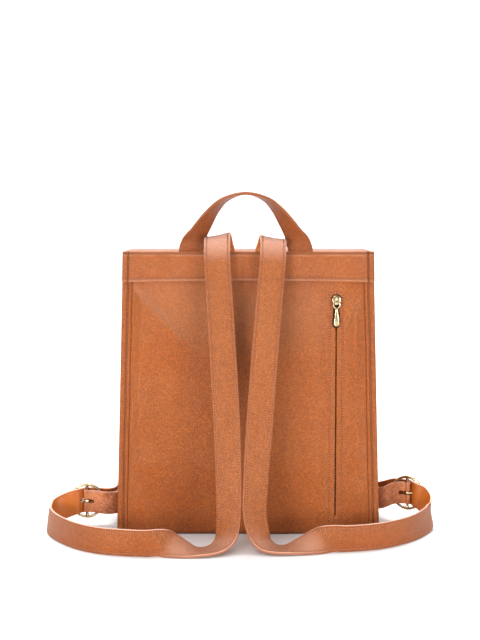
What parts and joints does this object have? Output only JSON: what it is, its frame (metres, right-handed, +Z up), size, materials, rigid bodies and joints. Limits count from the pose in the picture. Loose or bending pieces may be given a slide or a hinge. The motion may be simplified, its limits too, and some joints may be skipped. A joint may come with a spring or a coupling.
{
  "type": "leather backpack",
  "caption": "Upright tan leather backpack with a carrying handle, buckled shoulder straps, a zipped back pocket and a front flap with a snap.",
  "frame": {"origin": "centre of the bag's flat base, on the surface that it stands on", "axes": "+Z up, +X to the right as seen from behind, -Y out of the back panel that rests against the wearer"},
  "size_m": [0.4152, 0.1957, 0.3615],
  "materials": {
    "body_leather": "pebbled satin leather",
    "strap_leather": "pebbled satin leather, stitched near its edges",
    "lining_cloth": "plain woven cotton",
    "zip_tape": "woven tape with metal-coloured teeth",
    "board": "pressed fibre board",
    "brass": "polished pale gold"
  },
  "bodies": {
    "bag": {"back_panel": "body_leather", "front_panel": "body_leather", "bottom_panel": "body_leather", "gusset_left": "body_leather", "gusset_right": "body_leather", "rear_seam_left": "body_leather", "front_seam_left": "body_leather", "rear_seam_right": "body_leather", "front_seam_right": "body_leather", "back_band": "body_leather", "base_board": "board", "lining": "lining_cloth", "zip_pocket_pouch": "lining_cloth", "zip_tape_left": "zip_tape", "zip_tape_right": "zip_tape", "snap_base": "brass", "handle_root_left": "body_leather", "handle_root_right": "body_leather", "strap_root_left": "strap_leather", "strap_end_left": "strap_leather", "buckle_left": "brass", "buckle_tab_left": "body_leather", "strap_root_right": "strap_leather", "strap_end_right": "strap_leather", "buckle_right": "brass", "buckle_tab_right": "body_leather"},
    "zip_slider": {"zip_slider": "brass"},
    "zip_puller": {"zip_puller": "brass"},
    "flap_top": {"flap_top": "body_leather"},
    "flap_front": {"flap_front": "body_leather", "snap_cap": "brass"},
    "handle": {"handle": "body_leather"},
    "strap_left": {"shoulder_strap_left": "strap_leather"},
    "strap_right": {"shoulder_strap_right": "strap_leather"},
    "prong_left": {"prong_left": "brass"},
    "prong_right": {"prong_right": "brass"}
  },
  "joints": [
    {"name": "zip_slide", "type": "slide", "parent": "bag", "child": "zip_slider", "axis": [0, 0, -1], "range_m": [0, 0.215]},
    {"name": "zip_pull", "type": "hinge", "parent": "zip_slider", "child": "zip_puller", "pos_m": [0.092, -0.0536, 0.2459], "axis": [-1, 0, 0], "range_deg": [0, 160]},
    {"name": "flap_lift", "type": "hinge", "parent": "bag", "child": "flap_top", "pos_m": [0, -0.047, 0.3032], "axis": [1, 0, 0], "range_deg": [0, 70]},
    {"name": "flap_open", "type": "hinge", "parent": "flap_top", "child": "flap_front", "pos_m": [0, 0.0456, 0.3008], "axis": [1, 0, 0], "range_deg": [0, 100]},
    {"name": "handle_tilt", "type": "hinge", "parent": "bag", "child": "handle", "pos_m": [0, -0.062, 0.319], "axis": [1, 0, 0], "range_deg": [0, 50], "stiffness_Nm_per_rad": 0.08},
    {"name": "strap_swing_left", "type": "hinge", "parent": "bag", "child": "strap_left", "pos_m": [-0.032, -0.0657, 0.303], "axis": [-1, 0, 0], "range_deg": [0, 18]},
    {"name": "strap_swing_right", "type": "hinge", "parent": "bag", "child": "strap_right", "pos_m": [0.0256, -0.0657, 0.303], "axis": [-1, 0, 0], "range_deg": [0, 18]},
    {"name": "prong_turn_left", "type": "hinge", "parent": "bag", "child": "prong_left", "pos_m": [-0.175, -0.0135, 0.028], "axis": [0, 0, -1], "range_deg": [0, 12]},
    {"name": "prong_turn_right", "type": "hinge", "parent": "bag", "child": "prong_right", "pos_m": [0.175, -0.002, 0.034], "axis": [0, 0, 1], "range_deg": [0, 12]}
  ]
}
